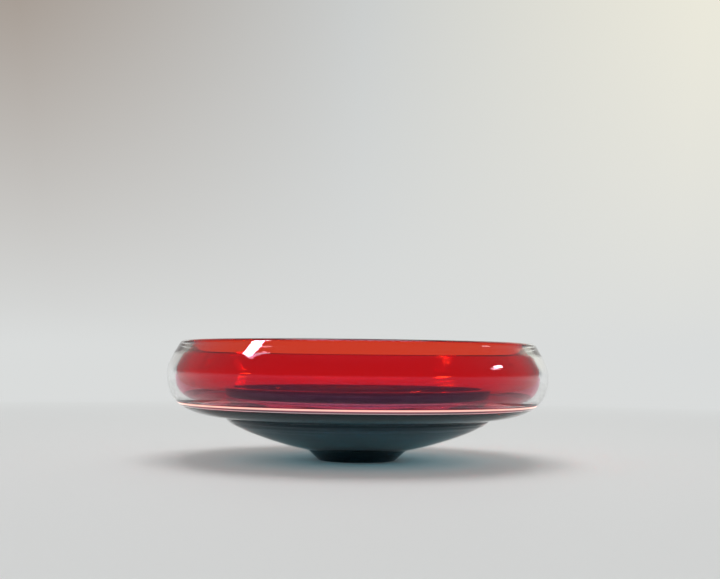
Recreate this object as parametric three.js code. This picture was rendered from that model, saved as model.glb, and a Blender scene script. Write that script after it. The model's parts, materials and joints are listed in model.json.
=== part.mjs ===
// Art glass bowl: a wide shallow vessel of ruby glass cased in clear, joined to a smoke-grey
// underside with its own small dish and an applied foot.  Millimetres, +Z up, origin on the
// table under the middle of the foot.
//
// Every piece is turned about +Z.  The outside is one outline in four runs (wall, belly and
// shoulder, dish, foot); inner faces are set back from it by named walls, and pieces that
// touch keep `fit` between them.

import * as THREE from 'three';

// ---- driving dimensions -------------------------------------------------------------

const bellyRadius = 148; // widest ring of the bowl
const rimRadius = 137.3; // outside of the lip
const bowlHeight = 91.5; // table to lip
const bellyHeight = 66; // height of the widest ring
const jointHeight = 45; // where the ruby half meets the clear joint band
const bandHeight = 3.6; // clear band laid in the joint
const stepRadius = 103.4; // inner end of the shoulder, where the dish starts
const stepHeight = 32.2;
const footHeight = 8.2;
const footTopRadius = 39.2;
const footBaseRadius = 31;

const casingWall = 6; // clear glass outside the colour
const lipSwell = 0.6; // how much thicker the casing is at the lip
const swellHeight = 82.5; // where that thickening starts
const rubyWall = 2.4; // colour on the inside of the wall and on the ledge
const ledgeHeight = 52; // inside, top of the clear gather where the ledge meets the well
const ledgeDrop = 2.6; // fall of the ledge from the wall to the well
const ledgeBend = 17; // height of the bend between wall and ledge
const collarWall = 6.5; // dish wall where it lines the well
const dishWall = 11; // dish at the middle, above the foot
const pontilRadius = 17; // ground hollow under the foot
const pontilDepth = 1.4;
const footEdge = 0.8; // ground edge of the foot

const fit = 0.3; // left between pieces that touch
const closest = 1; // points of an outline stand no nearer than this
const turns = 40; // facets round every piece

// ---- outline helpers ----------------------------------------------------------------

const at = (radius, height) => new THREE.Vector2(radius, height);

function bend(start, startPull, endPull, end, steps) {
  return new THREE.CubicBezierCurve(start, startPull, endPull, end).getPoints(steps);
}

// Moves an outline that runs downwards on the outside of a piece inwards by `depth`, plus a
// swell that grows evenly from `swellHeight` up to the lip.
function setBack(outline, depth, swell = 0) {
  return outline.map((point, i) => {
    const before = outline[Math.max(i - 1, 0)];
    const after = outline[Math.min(i + 1, outline.length - 1)];
    const along = after.clone().sub(before).normalize();
    const rise = Math.max(0, (point.y - swellHeight) / (bowlHeight - swellHeight));
    const inwards = depth + swell * rise;
    return at(point.x + along.y * inwards, point.y - along.x * inwards);
  });
}

// The stretch of a falling outline between two heights, cut exactly at both.
function between(outline, top, bottom) {
  const cut = [];
  outline.forEach((point, i) => {
    const next = outline[i + 1];
    if (point.y <= top && point.y >= bottom) cut.push(point);
    if (!next) return;
    [top, bottom].forEach((height) => {
      if (point.y > height && next.y < height) {
        cut.push(point.clone().lerp(next, (point.y - height) / (point.y - next.y)));
      }
    });
  });
  return cut;
}

// Radius of a falling outline at a height.
function radiusAt(outline, height) {
  const i = outline.findIndex((point) => point.y <= height);
  const above = outline[i - 1];
  return above.clone().lerp(outline[i], (above.y - height) / (above.y - outline[i].y)).x;
}

// Leaves out points that crowd the one before them, and keeps both ends.
function spaced(outline) {
  const kept = [outline[0]];
  outline.slice(1, -1).forEach((point) => {
    const clear = point.distanceTo(kept[kept.length - 1]) > closest;
    if (clear && point.distanceTo(outline[outline.length - 1]) > closest) kept.push(point);
  });
  return [...kept, outline[outline.length - 1]];
}

const lowered = (outline, drop) => outline.map((point) => at(point.x, point.y - drop));

// ---- the outside --------------------------------------------------------------------

const wallRise = bowlHeight - bellyHeight;
const wallFlare = bellyRadius - rimRadius;
const wallOutline = bend(
  at(rimRadius, bowlHeight),
  at(rimRadius + wallFlare * 0.88, bowlHeight - wallRise * 0.61),
  at(bellyRadius, bellyHeight + wallRise * 0.24),
  at(bellyRadius, bellyHeight),
  7,
);

const bellyDrop = bellyHeight - stepHeight;
const shoulderReach = bellyRadius - stepRadius;
const bellyOutline = bend(
  at(bellyRadius, bellyHeight),
  at(bellyRadius, bellyHeight - bellyDrop * 0.935),
  at(bellyRadius - shoulderReach * 0.74, stepHeight + bellyDrop * 0.041),
  at(stepRadius, stepHeight),
  14,
);
const outside = [...wallOutline, ...bellyOutline.slice(1)];

// The same outline run on past the lip, so that faces set back from it reach the lip too.
const lean = wallOutline[0].clone().sub(wallOutline[1]).normalize();
const pastLip = wallOutline[0].clone().addScaledVector(lean, casingWall + rubyWall + lipSwell);
const fullOutside = [pastLip, ...outside];

const dishDrop = stepHeight - footHeight;
const dishReach = stepRadius - footTopRadius;
const dishOutline = bend(
  at(stepRadius, stepHeight),
  at(stepRadius - dishReach * 0.045, stepHeight - dishDrop * 0.34),
  at(stepRadius - dishReach * 0.83, footHeight + dishDrop * 0.04),
  at(footTopRadius, footHeight),
  8,
);

// ---- the inside ---------------------------------------------------------------------

const bandFloor = jointHeight - bandHeight;
const wellRadius = stepRadius - collarWall;
const bendTop = ledgeHeight + ledgeDrop + ledgeBend;
const casingInside = setBack(fullOutside, casingWall, lipSwell);
const rubyBack = setBack(fullOutside, casingWall + fit, lipSwell);
const rubyFace = setBack(fullOutside, casingWall + fit + rubyWall, lipSwell);
const bendRadius = radiusAt(rubyBack, bendTop);

// Back of the ruby layer: down the wall, round the bend and in along the sloping ledge.
const ledgeReach = bendRadius - stepRadius;
const ledgeOutline = bend(
  at(bendRadius, bendTop),
  at(bendRadius + 0.5, bendTop - ledgeBend * 0.92),
  at(stepRadius + ledgeReach * 0.72, ledgeHeight + ledgeDrop),
  at(stepRadius + fit, ledgeHeight),
  9,
);

// ---- pieces -------------------------------------------------------------------------

function glass(color, opacity) {
  return new THREE.MeshStandardMaterial({
    color,
    roughness: 0.04,
    metalness: 0,
    transparent: true,
    opacity,
  });
}

function turned(name, outline, material) {
  const geometry = new THREE.LatheGeometry(outline, turns);
  geometry.rotateX(Math.PI / 2);
  const mesh = new THREE.Mesh(geometry, material);
  mesh.name = name;
  return mesh;
}

// A turned piece whose outline closes on itself: the outer run falls, the inner run rises.
function turnedRing(name, outer, inner, material) {
  const loop = [...outer, ...inner.slice().reverse()];
  return turned(name, [...loop, loop[0]].reverse(), material);
}

function clearCasing(material) {
  const outer = spaced(between(outside, bowlHeight, jointHeight));
  const inner = spaced(between(casingInside, bowlHeight, jointHeight));
  return turnedRing('clear_casing', outer, inner, material);
}

function rubyLayer(material) {
  const outer = spaced([...between(rubyBack, bowlHeight, bendTop), ...ledgeOutline.slice(1)]);
  const ledgeFace = setBack(ledgeOutline, rubyWall).filter((point) => point.x > stepRadius + fit);
  const wallFace = between(rubyFace, bowlHeight, bendTop);
  const end = at(stepRadius + fit, ledgeHeight + rubyWall);
  return turnedRing('ruby_layer', outer, spaced([...wallFace, ...ledgeFace, end]), material);
}

// Thick clear glass gathered behind the bend, between the ruby ledge and the joint.
function clearGather(material) {
  const back = lowered(ledgeOutline, fit).filter((p) => p.x < radiusAt(rubyBack, p.y) - fit);
  const crest = at(radiusAt(rubyBack, back[0].y), back[0].y);
  const outer = spaced([crest, ...between(rubyBack, crest.y, jointHeight).slice(1)]);
  const inner = [...back, at(stepRadius + fit, jointHeight)];
  return turnedRing('clear_gather', outer, inner, material);
}

function jointBand(material) {
  const outer = spaced(between(outside, jointHeight - fit, bandFloor));
  const inner = [at(stepRadius + fit, jointHeight - fit), at(stepRadius + fit, bandFloor)];
  return turnedRing('joint_band', outer, inner, material);
}

function smokeShoulder(material) {
  const innerRadius = stepRadius + fit;
  const under = between(outside, bandFloor - fit, stepHeight).filter((p) => p.x > innerRadius + closest);
  const inner = [at(innerRadius, bandFloor - fit), at(innerRadius, stepHeight + fit)];
  return turnedRing('smoke_shoulder', spaced(under), inner, material);
}

// The small bowl under the shoulder; its collar passes up through the rings to the ledge.
function smokeDish(material) {
  const rimTop = ledgeHeight + rubyWall;
  const wellFloor = footHeight + dishWall;
  const well = bend(
    at(wellRadius, rimTop),
    at(wellRadius, stepHeight + 2),
    at(wellRadius * 0.62, wellFloor),
    at(0, wellFloor),
    10,
  );
  const under = [at(0, footHeight + fit), at(footTopRadius, footHeight + fit)];
  const outer = dishOutline.slice(0, -1).reverse();
  const outline = [...under, ...outer, at(stepRadius, rimTop), ...well];
  return turned('smoke_dish', outline, material);
}

function foot(material) {
  const hollow = new THREE.QuadraticBezierCurve(
    at(0, pontilDepth),
    at(pontilRadius * 0.6, pontilDepth),
    at(pontilRadius, 0),
  ).getPoints(5);
  const outline = [
    ...hollow,
    at(footBaseRadius - footEdge, 0),
    at(footBaseRadius, footEdge),
    at(footTopRadius, footHeight),
    at(0, footHeight),
  ];
  return turned('foot', outline, material);
}

const clearGlass = glass(0xe9f2f0, 0.3);
const rubyGlass = glass(0xc40a18, 0.75);
const smokeGlass = glass(0x1e2d33, 0.85);
const footGlass = glass(0x0a1a22, 0.92);

const bowl = new THREE.Group();
bowl.add(
  clearCasing(clearGlass),
  rubyLayer(rubyGlass),
  clearGather(clearGlass),
  jointBand(clearGlass),
  smokeShoulder(smokeGlass),
  smokeDish(smokeGlass),
  foot(footGlass),
);

export default bowl;
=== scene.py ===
import json
import math
import bmesh
import bpy
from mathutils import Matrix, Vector

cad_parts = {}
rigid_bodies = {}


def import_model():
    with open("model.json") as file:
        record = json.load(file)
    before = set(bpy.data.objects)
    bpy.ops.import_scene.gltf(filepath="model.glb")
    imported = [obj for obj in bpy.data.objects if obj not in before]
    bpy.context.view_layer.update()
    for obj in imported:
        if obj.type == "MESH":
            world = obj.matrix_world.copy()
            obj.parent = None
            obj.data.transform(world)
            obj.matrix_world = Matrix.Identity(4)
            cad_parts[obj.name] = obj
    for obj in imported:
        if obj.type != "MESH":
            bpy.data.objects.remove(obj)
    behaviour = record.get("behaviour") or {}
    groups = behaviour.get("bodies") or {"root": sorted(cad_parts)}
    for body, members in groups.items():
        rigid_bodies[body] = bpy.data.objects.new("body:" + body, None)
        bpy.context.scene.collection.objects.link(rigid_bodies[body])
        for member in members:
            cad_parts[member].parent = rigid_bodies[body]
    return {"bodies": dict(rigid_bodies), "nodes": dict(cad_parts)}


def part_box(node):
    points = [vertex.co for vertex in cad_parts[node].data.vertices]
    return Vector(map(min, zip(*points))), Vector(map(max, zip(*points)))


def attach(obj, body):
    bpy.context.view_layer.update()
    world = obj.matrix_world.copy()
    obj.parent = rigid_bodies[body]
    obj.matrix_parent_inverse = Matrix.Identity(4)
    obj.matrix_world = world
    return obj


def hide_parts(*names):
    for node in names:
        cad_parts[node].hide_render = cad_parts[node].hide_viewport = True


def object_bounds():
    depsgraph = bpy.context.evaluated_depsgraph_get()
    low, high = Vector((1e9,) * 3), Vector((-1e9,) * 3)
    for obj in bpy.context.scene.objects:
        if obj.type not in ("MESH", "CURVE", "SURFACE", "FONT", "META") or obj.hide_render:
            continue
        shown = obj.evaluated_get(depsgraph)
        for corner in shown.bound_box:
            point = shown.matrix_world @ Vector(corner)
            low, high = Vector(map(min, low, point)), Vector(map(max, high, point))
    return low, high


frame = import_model()
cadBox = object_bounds()
mm = 0.001
fit = 0.3 * mm  # left between pieces that touch
turnSteps = 224  # facets round a turned piece
bodyName = next(iter(frame["bodies"]))
print("frame loaded:", ", ".join(sorted(frame["nodes"])))

# sizes that the frame gives
bellyRadius = cadBox[1][0]
bowlHeight = cadBox[1][2]
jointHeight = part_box("clear_casing")[0][2]
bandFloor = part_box("joint_band")[0][2]
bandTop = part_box("joint_band")[1][2]
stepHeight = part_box("smoke_shoulder")[0][2]
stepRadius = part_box("smoke_dish")[1][0]
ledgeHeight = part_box("ruby_layer")[0][2]
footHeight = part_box("foot")[1][2]
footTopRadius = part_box("foot")[1][0]

outlineShape = {
    "rimRadius": 137.3 * mm,
    "bellyHeight": 66 * mm,
    "swellStart": 82.5 * mm,  # above this the casing thickens towards the lip
    "lipLean": 0.88,       # how the wall leans in at the lip
    "lipReach": 0.61,
    "wallBelly": 0.24,
    "bellyHang": 0.935,    # how far the belly hangs before it turns under
    "shoulderPull": 0.74,
    "shoulderLift": 0.041,
    "dishPull": 0.045,     # the dish starts steeply under the step
    "dishSteep": 0.34,
    "dishFlat": 0.83,
    "dishSag": 0.04,
    "pastLip": 12 * mm,  # the wall line runs on past the lip, for the faces set back from it
}


# outlines are lists of (radius, height), falling on the outside of the bowl
def bend(start, startPull, endPull, end, steps):
    points = []
    for i in range(steps + 1):
        t = i / steps
        weights = ((1 - t) ** 3, 3 * t * (1 - t) ** 2, 3 * t * t * (1 - t), t ** 3)
        corners = (start, startPull, endPull, end)
        points.append(tuple(sum(w * c[k] for w, c in zip(weights, corners)) for k in (0, 1)))
    return points


def setBack(outline, depth, swell=0.0):
    swellStart = outlineShape["swellStart"]
    moved = []
    for i, (radius, height) in enumerate(outline):
        before = outline[max(i - 1, 0)]
        after = outline[min(i + 1, len(outline) - 1)]
        along = Vector((after[0] - before[0], after[1] - before[1])).normalized()
        rise = max(0.0, (height - swellStart) / (bowlHeight - swellStart))
        inwards = depth + swell * rise
        moved.append((radius + along.y * inwards, height - along.x * inwards))
    return moved


def between(outline, top, bottom):
    cut = []
    for i, (radius, height) in enumerate(outline):
        if bottom <= height <= top:
            cut.append((radius, height))
        if i + 1 == len(outline):
            break
        nextRadius, nextHeight = outline[i + 1]
        for level in (top, bottom):
            if height > level > nextHeight:
                share = (height - level) / (height - nextHeight)
                cut.append((radius + (nextRadius - radius) * share, level))
    return cut


def radiusAt(outline, level):
    for (radius, height), (nextRadius, nextHeight) in zip(outline, outline[1:]):
        if height >= level >= nextHeight:
            return radius + (nextRadius - radius) * (height - level) / max(height - nextHeight, 1e-9)
    return outline[-1][0]


def rounded(outline, index, size, steps=6):
    # rounds one corner of an outline with an arc-like bend
    before, corner, after = outline[index - 1], outline[index], outline[(index + 1) % len(outline)]
    legs = []
    for other in (before, after):
        leg = Vector(other) - Vector(corner)
        legs.append(tuple(Vector(corner) + leg.normalized() * min(size, leg.length * 0.9)))
    inner = [tuple(Vector(end).lerp(Vector(corner), 0.55)) for end in legs]
    arc = bend(legs[0], inner[0], inner[1], legs[1], steps)
    return outline[:index] + arc + outline[index + 1:]


shape = outlineShape
wallRise = bowlHeight - shape["bellyHeight"]
wallFlare = bellyRadius - shape["rimRadius"]
wallOutline = bend(
    (shape["rimRadius"], bowlHeight),
    (shape["rimRadius"] + wallFlare * shape["lipLean"], bowlHeight - wallRise * shape["lipReach"]),
    (bellyRadius, shape["bellyHeight"] + wallRise * shape["wallBelly"]),
    (bellyRadius, shape["bellyHeight"]),
    26,
)
bellyDrop = shape["bellyHeight"] - stepHeight
shoulderReach = bellyRadius - stepRadius
bellyOutline = bend(
    (bellyRadius, shape["bellyHeight"]),
    (bellyRadius, shape["bellyHeight"] - bellyDrop * shape["bellyHang"]),
    (bellyRadius - shoulderReach * shape["shoulderPull"],
     stepHeight + bellyDrop * shape["shoulderLift"]),
    (stepRadius, stepHeight),
    44,
)
outside = wallOutline + bellyOutline[1:]
lean = (Vector(wallOutline[0]) - Vector(wallOutline[1])).normalized()
fullOutside = [tuple(Vector(wallOutline[0]) + lean * shape["pastLip"])] + outside
dishDrop = stepHeight - footHeight
dishReach = stepRadius - footTopRadius
dishOutline = bend(
    (stepRadius, stepHeight),
    (stepRadius - dishReach * shape["dishPull"], stepHeight - dishDrop * shape["dishSteep"]),
    (stepRadius - dishReach * shape["dishFlat"], footHeight + dishDrop * shape["dishSag"]),
    (footTopRadius, footHeight),
    30,
)
print("outlines worked out")


def turnPiece(name, outline, closed, replaced, material):
    mesh = bmesh.new()
    corners = [mesh.verts.new((radius, 0, height)) for radius, height in outline]
    edges = [mesh.edges.new(pair) for pair in zip(corners, corners[1:])]
    if closed:
        edges.append(mesh.edges.new((corners[-1], corners[0])))
    bmesh.ops.spin(mesh, geom=corners + edges, cent=(0, 0, 0), axis=(0, 0, 1),
                   angle=math.tau, steps=turnSteps, use_merge=True, use_duplicate=False)
    bmesh.ops.remove_doubles(mesh, verts=mesh.verts, dist=1e-6)
    bmesh.ops.dissolve_degenerate(mesh, edges=mesh.edges, dist=1e-7)
    bmesh.ops.recalc_face_normals(mesh, faces=mesh.faces)
    data = bpy.data.meshes.new(name)
    mesh.to_mesh(data)
    mesh.free()
    data.shade_smooth()
    data.set_sharp_from_angle(angle=math.radians(38))
    piece = bpy.data.objects.new(name, data)
    bpy.context.collection.objects.link(piece)
    data.materials.append(material)
    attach(piece, bodyName)
    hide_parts(replaced)
    print(name, "turned:", len(data.polygons), "faces")
    return piece


def fillRamp(rampNode, stops):
    # each stop is a place along the ramp and a colour, or one number for a grey
    ramp = rampNode.color_ramp
    while len(ramp.elements) < len(stops):
        ramp.elements.new(0.5)
    for element, (spot, tone) in zip(ramp.elements, stops):
        element.position = spot
        element.color = tone if isinstance(tone, tuple) else (tone, tone, tone, 1)


def glassMaterial(name, look):
    material = bpy.data.materials.new(name)
    material.use_nodes = True
    nodes = material.node_tree.nodes
    links = material.node_tree.links
    surface = nodes["Principled BSDF"]
    surface.inputs["Base Color"].default_value = look.get("tint", (1, 1, 1, 1))
    surface.inputs["Specular Tint"].default_value = look.get("sheenTint", (1, 1, 1, 1))
    surface.inputs["Transmission Weight"].default_value = 1
    surface.inputs["IOR"].default_value = look["ior"]
    surface.inputs["Roughness"].default_value = look["roughness"]
    strongest = max(look["absorbs"])
    inside = nodes.new("ShaderNodeVolumeAbsorption")
    inside.inputs["Color"].default_value = (*[1 - a / strongest for a in look["absorbs"]], 1)
    inside.inputs["Density"].default_value = strongest
    output = nodes["Material Output"]
    links.new(inside.outputs["Volume"], output.inputs["Volume"])
    if "innerGloss" in look:
        # polish only where the glass faces the middle of the bowl
        place = nodes.new("ShaderNodeTexCoord")
        facing = nodes.new("ShaderNodeVectorMath")
        facing.operation = "DOT_PRODUCT"
        sideways = nodes.new("ShaderNodeVectorMath")
        sideways.operation = "MULTIPLY"
        sideways.inputs[1].default_value = (-1, -1, 0)
        links.new(place.outputs["Object"], sideways.inputs[0])
        links.new(sideways.outputs["Vector"], facing.inputs[0])
        links.new(place.outputs["Normal"], facing.inputs[1])
        polish = nodes.new("ShaderNodeMapRange")
        polish.inputs["From Min"].default_value = 0
        polish.inputs["From Max"].default_value = 0.01
        polish.inputs["To Max"].default_value = look["innerGloss"]
        links.new(facing.outputs["Value"], polish.inputs["Value"])
        links.new(polish.outputs["Result"], surface.inputs["Coat Weight"])
        surface.inputs["Coat Roughness"].default_value = 0.0
    return material


casingSettings = {
    "wall": 6 * mm,
    "lipSwell": 0.6 * mm,  # thicker at the lip
    "lipRound": 2.2 * mm,
    "ior": 1.5,
    "roughness": 0.0,
    "absorbs": (0.8, 0.9, 0.85),
    "sheenTint": (0.9, 0.28, 0.55, 1),
}


def makeCasing():
    s = casingSettings
    outer = between(outside, bowlHeight, jointHeight)
    inner = between(setBack(fullOutside, s["wall"], s["lipSwell"]), bowlHeight, jointHeight)
    outline = outer + inner[::-1]
    outline = rounded(outline, 0, s["lipRound"])
    return turnPiece("clearCasing", outline, True, "clear_casing",
                     glassMaterial("clearGlass", s))


rubySettings = {
    "wall": 2.4 * mm,
    "lipRound": 1.2 * mm,
    "ledgeDrop": 2.6 * mm,
    "ledgeBend": 17 * mm,
    "ior": 1.0,
    "roughness": 0.0,
    "tint": (0.90, 0.07, 0.012, 1),
    "absorbs": (3, 70, 25),
    "innerGloss": 1.0,
}
ruby = rubySettings
casingBack = casingSettings["wall"] + fit
lipSwell = casingSettings["lipSwell"]
rubyBack = setBack(fullOutside, casingBack, lipSwell)
bendTop = ledgeHeight + ruby["ledgeDrop"] + ruby["ledgeBend"]
bendRadius = radiusAt(rubyBack, bendTop)
ledgeReach = bendRadius - stepRadius
ledgeOutline = bend(
    (bendRadius, bendTop),
    (bendRadius + 0.5 * mm, bendTop - ruby["ledgeBend"] * 0.92),
    (stepRadius + ledgeReach * 0.72, ledgeHeight + ruby["ledgeDrop"]),
    (stepRadius + fit, ledgeHeight),
    30,
)


def makeRuby():
    s = rubySettings
    outer = between(rubyBack, bowlHeight, bendTop) + ledgeOutline[1:]
    wallFace = between(setBack(fullOutside, casingBack + s["wall"], lipSwell), bowlHeight, bendTop)
    ledgeFace = setBack(ledgeOutline, s["wall"])[2:-1]
    end = (stepRadius + fit, ledgeHeight + s["wall"])
    inner = wallFace[:-1] + ledgeFace + [end]
    outline = outer + inner[::-1]
    outline = rounded(outline, len(outline) - 1, s["lipRound"])
    return turnPiece("rubyLayer", outline, True, "ruby_layer",
                     glassMaterial("rubyGlass", s))


gatherSettings = {
    "crestDrop": 5 * mm,  # the gather thins to nothing this far below the top of the bend
    "ior": 1.0,
    "roughness": 0.0,
    "absorbs": (6, 48, 30),
}


def makeGather():
    crestHeight = bendTop - gatherSettings["crestDrop"]
    back = [(r, h - fit) for r, h in ledgeOutline if h - fit < crestHeight]
    crest = (radiusAt(rubyBack, back[0][1]), back[0][1])
    outer = [crest] + between(rubyBack, crest[1], jointHeight)[1:]
    inner = back + [(stepRadius + fit, jointHeight)]
    return turnPiece("clearGather", outer + inner[::-1], True, "clear_gather",
                     glassMaterial("gatherGlass", gatherSettings))


bandSettings = {
    "ior": 1.5,
    "roughness": 0.0,
    "absorbs": (25, 110, 70),
    # glow: strength of the painted highlight in the band
    "glow": 1.0,
    # painted highlight by height in the band, from its floor to its top: pale painted lines with
    # darker painted lines between
    "paintedHighlightLevels": ((0.0, 0.0), (0.02, 0.42), (0.10, 0.42), (0.18, 0.05), (0.50, (0.08, 0.06, 0.07, 1)),
                (0.60, (0.97, 0.66, 0.54, 1)), (0.88, (0.95, 0.56, 0.44, 1)),
                (0.96, (0.30, 0.05, 0.06, 1)), (1.0, 0.0)),
}


def paintedBandHighlight(material, look):
    # painted highlight round the clear band: it glows by height, in thin level streaks
    nodes = material.node_tree.nodes
    links = material.node_tree.links
    place = nodes.new("ShaderNodeTexCoord")
    split = nodes.new("ShaderNodeSeparateXYZ")
    links.new(place.outputs["Object"], split.inputs[0])
    level = nodes.new("ShaderNodeMapRange")
    level.inputs["From Min"].default_value = bandFloor
    level.inputs["From Max"].default_value = bandTop
    links.new(split.outputs["Z"], level.inputs["Value"])
    paintedHighlightLevels = nodes.new("ShaderNodeValToRGB")
    fillRamp(paintedHighlightLevels, look["paintedHighlightLevels"])
    links.new(level.outputs["Result"], paintedHighlightLevels.inputs["Fac"])
    surface = nodes["Principled BSDF"]
    links.new(paintedHighlightLevels.outputs["Color"], surface.inputs["Emission Color"])
    surface.inputs["Emission Strength"].default_value = look["glow"]
    return material


def makeBand():
    outer = between(outside, bandTop, bandFloor)
    collar = stepRadius + fit
    outline = outer + [(collar, bandFloor), (collar, bandTop)]
    return turnPiece("jointBand", outline, True, "joint_band",
                     paintedBandHighlight(glassMaterial("bandGlass", bandSettings), bandSettings))


smokeSettings = {
    "collarWall": 6.5 * mm,
    "dishWall": 11 * mm,
    "wellSteep": 2 * mm,   # how near the step the well's side stays upright
    "wellFlat": 0.62,
    "ior": 1.5,
    "roughness": 0.0,
    "absorbs": (280, 135, 115),
    "sheenTint": (0.25, 0.80, 1.0, 1),
    "streakTop": stepHeight,
    "streakFade": 11 * mm,  # height over which the streaks die away down the dish
    "streakPolish": ((0.0, 0.0), (0.75, 0.8), (0.98, 0.8), (1.0, 0.0)),
    "streakScale": (5, 5, 900),  # long round the bowl, thin in height
    "streakEdges": (0.45, 0.62),
    "coatIor": 1.9,
    "coatRoughness": 0.05,
}


def streakPolish(material, look):
    # faint level streaks in the polish under the shoulder
    nodes = material.node_tree.nodes
    links = material.node_tree.links
    place = nodes.new("ShaderNodeTexCoord")
    stretched = nodes.new("ShaderNodeMapping")
    stretched.inputs["Scale"].default_value = look["streakScale"]
    links.new(place.outputs["Object"], stretched.inputs["Vector"])
    noise = nodes.new("ShaderNodeTexNoise")
    noise.inputs["Scale"].default_value = 1.0
    noise.inputs["Detail"].default_value = 2.0
    links.new(stretched.outputs["Vector"], noise.inputs["Vector"])
    sharp = nodes.new("ShaderNodeMapRange")
    sharp.inputs["From Min"].default_value = look["streakEdges"][0]
    sharp.inputs["From Max"].default_value = look["streakEdges"][1]
    links.new(noise.outputs["Fac"], sharp.inputs["Value"])
    split = nodes.new("ShaderNodeSeparateXYZ")
    links.new(place.outputs["Object"], split.inputs[0])
    fade = nodes.new("ShaderNodeMapRange")
    fade.inputs["From Min"].default_value = look["streakTop"] - look["streakFade"]
    fade.inputs["From Max"].default_value = look["streakTop"]
    links.new(split.outputs["Z"], fade.inputs["Value"])
    strength = nodes.new("ShaderNodeValToRGB")
    fillRamp(strength, look["streakPolish"])
    links.new(fade.outputs["Result"], strength.inputs["Fac"])
    weight = nodes.new("ShaderNodeMath")
    weight.operation = "MULTIPLY"
    links.new(sharp.outputs["Result"], weight.inputs[0])
    links.new(strength.outputs["Color"], weight.inputs[1])
    surface = nodes["Principled BSDF"]
    links.new(weight.outputs["Value"], surface.inputs["Coat Weight"])
    surface.inputs["Coat IOR"].default_value = look["coatIor"]
    surface.inputs["Coat Roughness"].default_value = look["coatRoughness"]
    return material


smokeGlass = streakPolish(glassMaterial("smokeGlass", smokeSettings), smokeSettings)


def makeShoulder():
    collar = stepRadius + fit
    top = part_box("smoke_shoulder")[1][2]
    outer = [p for p in between(outside, top, stepHeight) if p[0] > collar]
    outline = outer + [(collar, stepHeight + fit), (collar, top)]
    return turnPiece("smokeShoulder", outline, True, "smoke_shoulder", smokeGlass)


def makeDish():
    s = smokeSettings
    rimTop = ledgeHeight + rubySettings["wall"]
    wellRadius = stepRadius - s["collarWall"]
    wellFloor = footHeight + s["dishWall"]
    well = bend((wellRadius, rimTop), (wellRadius, stepHeight + s["wellSteep"]),
                (wellRadius * s["wellFlat"], wellFloor), (0, wellFloor), 40)
    under = footHeight + fit
    outline = [(0, under), (footTopRadius, under)] + dishOutline[::-1][1:]
    outline += [(stepRadius, rimTop)] + well
    return turnPiece("smokeDish", outline, False, "smoke_dish", smokeGlass)


footSettings = {
    "baseRadius": 31 * mm,
    "edge": 0.8 * mm,
    "pontilRadius": 17 * mm,
    "pontilDepth": 1.4 * mm,
    "ior": 1.5,
    "roughness": 0.0,
    "absorbs": (160, 110, 90),
    "sheenTint": (0.2, 0.8, 1.0, 1),
}


def makeFoot():
    s = footSettings
    hollow = bend((0, s["pontilDepth"]), (s["pontilRadius"] * 0.4, s["pontilDepth"]),
                  (s["pontilRadius"] * 0.75, s["pontilDepth"] * 0.6), (s["pontilRadius"], 0), 14)
    outline = hollow + [(s["baseRadius"] - s["edge"], 0), (s["baseRadius"], s["edge"]),
                        (footTopRadius, footHeight), (0, footHeight)]
    return turnPiece("foot", outline, False, "foot", glassMaterial("footGlass", s))


makeCasing()
makeRuby()
makeGather()
makeBand()
makeShoulder()
makeDish()
makeFoot()

# floor running up into a round backdrop
stageSettings = {
    "floorRadius": 1.6,
    "wallRadius": 2.8,
    "wallTop": 3.2,
    "floorColor": (0.80, 0.805, 0.80, 1),
    "glowFloor": (0.70, 0.715, 0.71, 1),
    "glowSides": (0.24, 0.24, 0.245, 1),
    "wideBearing": 0.72,   # cosine from straight behind where the sides are dim
    "narrowBearing": 0.80,
    # painted light high on the backdrop, from left to right: darker and warm on the left, bright on
    # the right
    "paintedBackdropLight": ((0.0, (0.37, 0.32, 0.28, 1)), (0.5, (0.60, 0.615, 0.61, 1)),
                  (1.0, (0.84, 0.82, 0.71, 1))),
    "paperRoughness": 0.65,
    "glowReach": 1.3,
    # painted light that lifts the bowl's shadow on the paper, as a share of glow by distance from
    # the bowl over glowReach; kept near nothing at the foot, so the shadow there stays dark
    "paintedShadowFill": ((0.0, 0.0), (0.035, 0.05), (0.08, 0.28), (0.30, 0.36), (1.0, 1.0)),
    "turnSteps": 96,
}


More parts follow.
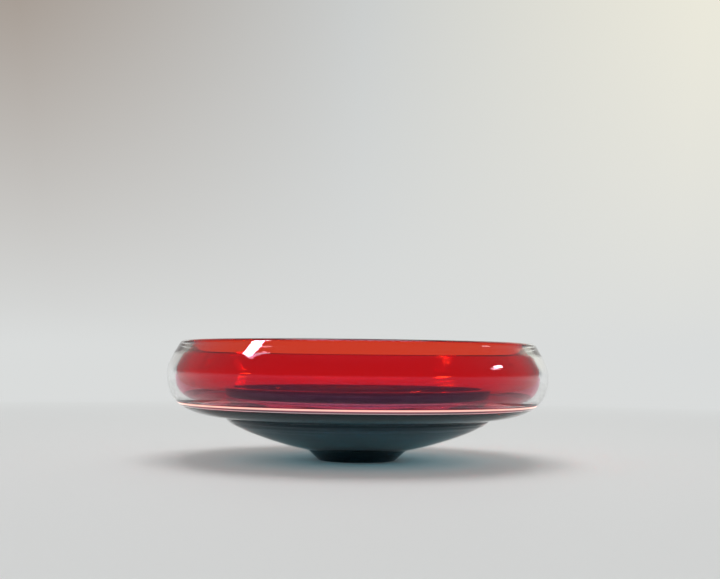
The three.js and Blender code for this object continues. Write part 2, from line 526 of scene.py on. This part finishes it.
def makeStage():
    s = stageSettings
    reach = s["wallRadius"] - s["floorRadius"]
    cove = bend((s["floorRadius"], 0), (s["floorRadius"] + reach * 0.6, 0),
                (s["wallRadius"], reach * 0.4), (s["wallRadius"], reach), 20)
    outline = [(0, 0)] + cove + [(s["wallRadius"], s["wallTop"])]
    mesh = bmesh.new()
    corners = [mesh.verts.new((radius, 0, height)) for radius, height in outline]
    edges = [mesh.edges.new(pair) for pair in zip(corners, corners[1:])]
    bmesh.ops.spin(mesh, geom=corners + edges, cent=(0, 0, 0), axis=(0, 0, 1),
                   angle=math.tau, steps=s["turnSteps"], use_merge=True, use_duplicate=False)
    bmesh.ops.remove_doubles(mesh, verts=mesh.verts, dist=1e-6)
    data = bpy.data.meshes.new("studioSweep")
    mesh.to_mesh(data)
    mesh.free()
    data.shade_smooth()
    sweep = bpy.data.objects.new("studioSweep", data)
    bpy.context.collection.objects.link(sweep)

    material = bpy.data.materials.new("sweepPaper")
    material.use_nodes = True
    nodes = material.node_tree.nodes
    links = material.node_tree.links
    paper = nodes["Principled BSDF"]
    paper.inputs["Base Color"].default_value = s["floorColor"]
    paper.inputs["Roughness"].default_value = s["paperRoughness"]
    place = nodes.new("ShaderNodeTexCoord")
    flat = nodes.new("ShaderNodeVectorMath")
    flat.operation = "MULTIPLY"
    flat.inputs[1].default_value = (1, 1, 0)
    links.new(place.outputs["Object"], flat.inputs[0])

    def bearingOf(socket):
        unit = nodes.new("ShaderNodeVectorMath")
        unit.operation = "NORMALIZE"
        split = nodes.new("ShaderNodeSeparateXYZ")
        links.new(socket, unit.inputs[0])
        links.new(unit.outputs["Vector"], split.inputs[0])
        return split

    def ranged(socket, low, high, style="SMOOTHSTEP"):
        node = nodes.new("ShaderNodeMapRange")
        node.interpolation_type = style
        node.inputs["From Min"].default_value = low
        node.inputs["From Max"].default_value = high
        links.new(socket, node.inputs["Value"])
        return node.outputs["Result"]

    def blended(share, first, second):
        node = nodes.new("ShaderNodeMix")
        node.data_type = "RGBA"
        links.new(share, node.inputs["Factor"])
        for socketName, value in (("A", first), ("B", second)):
            if isinstance(value, tuple):
                node.inputs[socketName].default_value = value
            else:
                links.new(value, node.inputs[socketName])
        return node.outputs["Result"]

    level = bearingOf(flat.outputs["Vector"])
    raised = bearingOf(place.outputs["Object"])
    # painted light across the backdrop, darker on the left, blending into the floor glow lower down
    across = nodes.new("ShaderNodeValToRGB")
    fillRamp(across, s["paintedBackdropLight"])
    links.new(ranged(raised.outputs["X"], -0.36, 0.36, "LINEAR"), across.inputs["Fac"])
    height = ranged(raised.outputs["Z"], 0.05, 0.42, "LINEAR")
    backTone = blended(height, s["glowFloor"], across.outputs["Color"])
    behind = ranged(level.outputs["Y"], s["wideBearing"], s["narrowBearing"])
    wallTone = blended(behind, s["glowSides"], backTone)
    tone = blended(ranged(raised.outputs["Z"], 0.0, 0.1), s["glowFloor"], wallTone)
    glow = nodes.new("ShaderNodeEmission")
    links.new(tone, glow.inputs["Color"])
    # painted light over the bowl's shadow: the floor glows more the further it is from the bowl
    radius = nodes.new("ShaderNodeVectorMath")
    radius.operation = "LENGTH"
    links.new(place.outputs["Object"], radius.inputs[0])
    fade = nodes.new("ShaderNodeValToRGB")
    fillRamp(fade, s["paintedShadowFill"])
    links.new(ranged(radius.outputs["Value"], 0, s["glowReach"], "LINEAR"), fade.inputs["Fac"])
    mix = nodes.new("ShaderNodeMixShader")
    links.new(fade.outputs["Color"], mix.inputs["Fac"])
    links.new(paper.outputs["BSDF"], mix.inputs[1])
    links.new(glow.outputs["Emission"], mix.inputs[2])
    links.new(mix.outputs["Shader"], nodes["Material Output"].inputs["Surface"])
    data.materials.append(material)
    print("stage made")


makeStage()

# light and camera
lightSettings = {
    "sky": (0.62, 0.64, 0.65, 1),
    "skyStrength": 0.5,
    "softboxes": {
        "top": {"place": (0.0, 0.1, 1.5), "aim": (0, 0, 0.05), "size": (1.1, 1.1),
                "power": 13.0, "onPaper": True},
        "leftWindow": {"place": (-1.13, -0.2, 1.25), "aim": (0, 0, 0.08), "size": (0.18, 0.40),
                       "power": 15.0, "onPaper": False},
        "rightWindow": {"place": (1.58, 0.05, 0.75), "aim": (0, 0, 0.08), "size": (0.2, 0.14),
                        "power": 4.0, "onPaper": False},
    },
}
for boxName, box in lightSettings["softboxes"].items():
    lamp = bpy.data.lights.new(boxName, "AREA")
    lamp.shape = "RECTANGLE"
    lamp.size, lamp.size_y = box["size"]
    lamp.energy = box["power"]
    holder = bpy.data.objects.new(boxName, lamp)
    holder.location = box["place"]
    aim = Vector(box["aim"]) - Vector(box["place"])
    holder.rotation_euler = aim.to_track_quat("-Z", "Y").to_euler()
    holder.visible_diffuse = box["onPaper"]  # the windows only shine in the glass
    bpy.context.collection.objects.link(holder)

world = bpy.data.worlds.new("studioAir")
world.use_nodes = True
world.node_tree.nodes["Background"].inputs["Color"].default_value = lightSettings["sky"]
world.node_tree.nodes["Background"].inputs["Strength"].default_value = lightSettings["skyStrength"]
bpy.context.scene.world = world

cameraSettings = {
    "place": (0.001, -0.868, 0.0757),
    "lens": 55,
    "pitch": 3.8,
    "roll": 0.65,
}
cameraData = bpy.data.cameras.new("camera")
cameraData.lens = cameraSettings["lens"]
cameraData.sensor_width = 36
cameraData.clip_start = 0.01
camera = bpy.data.objects.new("camera", cameraData)
camera.location = cameraSettings["place"]
pitch = math.radians(cameraSettings["pitch"])
look = Vector((0, math.cos(pitch), math.sin(pitch)))
camera.rotation_euler = look.to_track_quat("-Z", "Y").to_euler()
camera.rotation_euler.rotate_axis("Z", math.radians(cameraSettings["roll"]))
bpy.context.collection.objects.link(camera)
bpy.context.scene.camera = camera

scene = bpy.context.scene
scene.view_settings.view_transform = "Standard"
scene.cycles.max_bounces = 24
scene.cycles.transmission_bounces = 24
scene.cycles.transparent_max_bounces = 32
scene.cycles.glossy_bounces = 8
scene.cycles.use_denoising = True
print("lights and camera set")
